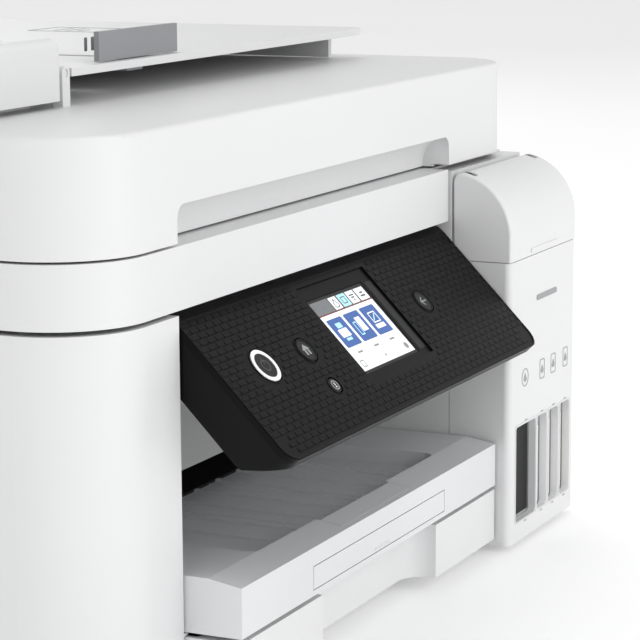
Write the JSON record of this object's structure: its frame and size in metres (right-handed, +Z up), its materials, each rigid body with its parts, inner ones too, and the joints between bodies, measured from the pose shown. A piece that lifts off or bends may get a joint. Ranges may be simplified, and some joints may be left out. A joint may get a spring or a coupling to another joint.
{
  "type": "inkjet printer",
  "caption": "All-in-one ink-tank printer with a tilting control panel, output tray, paper cassette, side ink tanks, lifting scanner and a sheet feeder in its lid.",
  "frame": {"origin": "centre of the footprint at rest, on the surface that the feet stand on", "axes": "+X to the printer's right seen from its front, +Y to the back, +Z up"},
  "size_m": [0.375, 0.3611, 0.231],
  "materials": {
    "white_shell": "fine satin texture",
    "tray_grey": "fine matt texture",
    "inner_grey": "matt",
    "dark_inner": "matt",
    "guide_grey": "matt",
    "panel_black": "embossed satin",
    "panel_back": "satin",
    "button_black": "satin",
    "screen": "glossy",
    "circuit": "solder resist",
    "tank_clear": "translucent",
    "cap_black": "matt",
    "cap_cyan": "matt",
    "cap_magenta": "matt",
    "cap_yellow": "matt",
    "steel": "brushed",
    "rubber_dark": "matt",
    "pulley_white": "matt",
    "inlet_black": "matt",
    "glass": "polished",
    "bar_black": "matt",
    "pad_white": "matt foam and plate"
  },
  "bodies": {
    "base": {"base_casing": "white_shell", "top_deck": "inner_grey", "casing_screws": "steel", "inner_front_wall": "inner_grey", "rubber_feet": "rubber_dark", "tank_housing": "white_shell", "ink_tank_black": "tank_clear", "ink_tank_cyan": "tank_clear", "ink_tank_magenta": "tank_clear", "ink_tank_yellow": "tank_clear", "filler_port_block": "dark_inner", "platen": "dark_inner", "star_wheel_bar": "dark_inner", "carriage_rail": "steel", "timing_belt": "rubber_dark", "carriage_motor": "steel", "capping_station": "dark_inner", "main_board": "circuit", "power_supply": "steel", "ac_inlet": "inlet_black"},
    "tank_cover": {"tank_cover": "white_shell"},
    "cap_black": {"cap_black": "cap_black"},
    "cap_cyan": {"cap_cyan": "cap_cyan"},
    "cap_magenta": {"cap_magenta": "cap_magenta"},
    "cap_yellow": {"cap_yellow": "cap_yellow"},
    "panel": {"panel_housing": "panel_back", "panel_face": "panel_black", "lcd_module": "screen", "panel_board": "circuit"},
    "power_button": {"power_button": "button_black"},
    "home_button": {"home_button": "button_black"},
    "help_button": {"help_button": "button_black"},
    "back_button": {"back_button": "button_black"},
    "tray": {"output_tray": "tray_grey"},
    "tray_extension": {"tray_extension": "tray_grey"},
    "stopper": {"paper_stopper": "tray_grey"},
    "cassette": {"paper_cassette": "white_shell"},
    "guide_left": {"edge_guide_left": "guide_grey"},
    "guide_right": {"edge_guide_right": "guide_grey"},
    "guide_rear": {"rear_guide": "guide_grey"},
    "feed_roller": {"feed_roller": "steel"},
    "eject_roller": {"eject_roller": "steel"},
    "pickup_roller": {"pickup_roller": "rubber_dark"},
    "carriage": {"print_carriage": "dark_inner"},
    "drive_pulley": {"drive_pulley": "pulley_white"},
    "idler_pulley": {"idler_pulley": "pulley_white"},
    "rear_cover": {"rear_cover": "white_shell"},
    "maintenance_box": {"maintenance_box": "dark_inner"},
    "scanner": {"scanner_base": "white_shell", "platen_glass": "glass", "scan_rod": "steel"},
    "scan_bar": {"scan_bar": "bar_black"},
    "lid": {"document_lid": "white_shell", "lid_pad": "pad_white"},
    "feeder_cover": {"feeder_cover": "white_shell"},
    "feeder_table": {"feeder_table": "white_shell"},
    "feeder_guide_front": {"feeder_guide_front": "guide_grey"},
    "feeder_guide_back": {"feeder_guide_back": "guide_grey"},
    "feeder_pick_roller": {"feeder_pick_roller": "rubber_dark"},
    "feeder_drive_roller": {"feeder_drive_roller": "rubber_dark"}
  },
  "joints": [
    {"name": "panel_tilt", "type": "hinge", "parent": "base", "child": "panel", "pos_m": [0, -0.1304, 0.1329], "axis": [-1, 0, 0], "range_deg": [-44.4, 15]},
    {"name": "power_press", "type": "slide", "parent": "panel", "child": "power_button", "axis": [0, 0.7145, -0.6997], "range_m": [0, 0.0007], "stiffness_N_per_m": 400},
    {"name": "home_press", "type": "slide", "parent": "panel", "child": "home_button", "axis": [0, 0.7145, -0.6997], "range_m": [0, 0.0007], "stiffness_N_per_m": 400},
    {"name": "help_press", "type": "slide", "parent": "panel", "child": "help_button", "axis": [0, 0.7145, -0.6997], "range_m": [0, 0.0007], "stiffness_N_per_m": 400},
    {"name": "back_press", "type": "slide", "parent": "panel", "child": "back_button", "axis": [0, 0.7145, -0.6997], "range_m": [0, 0.0007], "stiffness_N_per_m": 400},
    {"name": "tank_cover_hinge", "type": "hinge", "parent": "base", "child": "tank_cover", "pos_m": [0.14705, -0.1449, 0.15906], "axis": [-1, 0, 0], "range_deg": [0, 90]},
    {"name": "cap_black_hinge", "type": "hinge", "parent": "base", "child": "cap_black", "pos_m": [0.126, -0.1492, 0.1307], "axis": [-1, 0, 0], "range_deg": [0, 80]},
    {"name": "cap_cyan_hinge", "type": "hinge", "parent": "base", "child": "cap_cyan", "pos_m": [0.146, -0.1492, 0.1307], "axis": [-1, 0, 0], "range_deg": [0, 80]},
    {"name": "cap_magenta_hinge", "type": "hinge", "parent": "base", "child": "cap_magenta", "pos_m": [0.1607, -0.1492, 0.1307], "axis": [-1, 0, 0], "range_deg": [0, 80]},
    {"name": "cap_yellow_hinge", "type": "hinge", "parent": "base", "child": "cap_yellow", "pos_m": [0.1754, -0.1492, 0.1307], "axis": [-1, 0, 0], "range_deg": [0, 80]},
    {"name": "tray_slide", "type": "slide", "parent": "base", "child": "tray", "axis": [0, -1, 0], "range_m": [0, 0.07]},
    {"name": "extension_slide", "type": "slide", "parent": "tray", "child": "tray_extension", "axis": [0, -1, 0], "range_m": [0, 0.09]},
    {"name": "stopper_hinge", "type": "hinge", "parent": "tray", "child": "stopper", "pos_m": [-0.0131, -0.1496, 0.0474], "axis": [-1, 0, 0], "range_deg": [0, 90]},
    {"name": "cassette_slide", "type": "slide", "parent": "base", "child": "cassette", "axis": [0, -1, 0], "range_m": [0, 0.2]},
    {"name": "left_guide_slide", "type": "slide", "parent": "cassette", "child": "guide_left", "axis": [1, 0, 0], "range_m": [0, 0.06]},
    {"name": "right_guide_slide", "type": "slide", "parent": "cassette", "child": "guide_right", "axis": [-1, 0, 0], "range_m": [0, 0.06]},
    {"name": "rear_guide_slide", "type": "slide", "parent": "cassette", "child": "guide_rear", "axis": [0, -1, 0], "range_m": [0, 0.055]},
    {"name": "feed_roller_spin", "type": "hinge", "parent": "base", "child": "feed_roller", "pos_m": [-0.0131, 0.035, 0.048], "axis": [1, 0, 0], "continuous": true},
    {"name": "eject_roller_spin", "type": "hinge", "parent": "base", "child": "eject_roller", "pos_m": [-0.0131, -0.012, 0.049], "axis": [1, 0, 0], "continuous": true},
    {"name": "pickup_roller_spin", "type": "hinge", "parent": "base", "child": "pickup_roller", "pos_m": [-0.0131, 0.1, 0.0425], "axis": [1, 0, 0], "continuous": true},
    {"name": "carriage_slide", "type": "slide", "parent": "base", "child": "carriage", "axis": [-1, 0, 0], "range_m": [0, 0.27]},
    {"name": "drive_pulley_spin", "type": "hinge", "parent": "base", "child": "drive_pulley", "pos_m": [-0.162, 0.071, 0.096], "axis": [0, 1, 0], "range_deg": [0, 3100]},
    {"name": "idler_pulley_spin", "type": "hinge", "parent": "base", "child": "idler_pulley", "pos_m": [0.162, 0.071, 0.096], "axis": [0, 1, 0], "range_deg": [0, 3100]},
    {"name": "rear_cover_slide", "type": "slide", "parent": "base", "child": "rear_cover", "axis": [0, 1, 0], "range_m": [0, 0.06]},
    {"name": "maintenance_box_slide", "type": "slide", "parent": "base", "child": "maintenance_box", "axis": [0, 1, 0], "range_m": [0, 0.09]},
    {"name": "scanner_hinge", "type": "hinge", "parent": "base", "child": "scanner", "pos_m": [0, 0.176, 0.1465], "axis": [-1, 0, 0], "range_deg": [0, 35]},
    {"name": "scan_bar_slide", "type": "slide", "parent": "scanner", "child": "scan_bar", "axis": [1, 0, 0], "range_m": [0, 0.3]},
    {"name": "lid_hinge", "type": "hinge", "parent": "scanner", "child": "lid", "pos_m": [0, 0.166, 0.17], "axis": [-1, 0, 0], "range_deg": [0, 80]},
    {"name": "feeder_cover_hinge", "type": "hinge", "parent": "lid", "child": "feeder_cover", "pos_m": [-0.1735, 0.0395, 0.214], "axis": [0, -1, 0], "range_deg": [0, 80]},
    {"name": "feeder_table_hinge", "type": "hinge", "parent": "lid", "child": "feeder_table", "pos_m": [-0.0915, 0.0395, 0.218], "axis": [0, -1, 0], "range_deg": [0, 75]},
    {"name": "feeder_guide_front_slide", "type": "slide", "parent": "feeder_table", "child": "feeder_guide_front", "axis": [0, 1, 0], "range_m": [0, 0.06]},
    {"name": "feeder_guide_back_slide", "type": "slide", "parent": "feeder_table", "child": "feeder_guide_back", "axis": [0, -1, 0], "range_m": [0, 0.06]},
    {"name": "feeder_drive_roller_spin", "type": "hinge", "parent": "lid", "child": "feeder_drive_roller", "pos_m": [-0.1375, 0.0395, 0.216], "axis": [0, 1, 0], "continuous": true},
    {"name": "feeder_pick_roller_spin", "type": "hinge", "parent": "lid", "child": "feeder_pick_roller", "pos_m": [-0.1115, 0.0395, 0.216], "axis": [0, 1, 0], "continuous": true}
  ],
  "couplings": [
    {"joint": "right_guide_slide", "follows": "left_guide_slide", "ratio": 1},
    {"joint": "eject_roller_spin", "follows": "feed_roller_spin", "ratio": 1.2},
    {"joint": "drive_pulley_spin", "follows": "carriage_slide", "rad_per_m": 200},
    {"joint": "idler_pulley_spin", "follows": "carriage_slide", "rad_per_m": 200},
    {"joint": "feeder_guide_back_slide", "follows": "feeder_guide_front_slide", "ratio": 1},
    {"joint": "feeder_pick_roller_spin", "follows": "feeder_drive_roller_spin", "ratio": 0.88889}
  ]
}
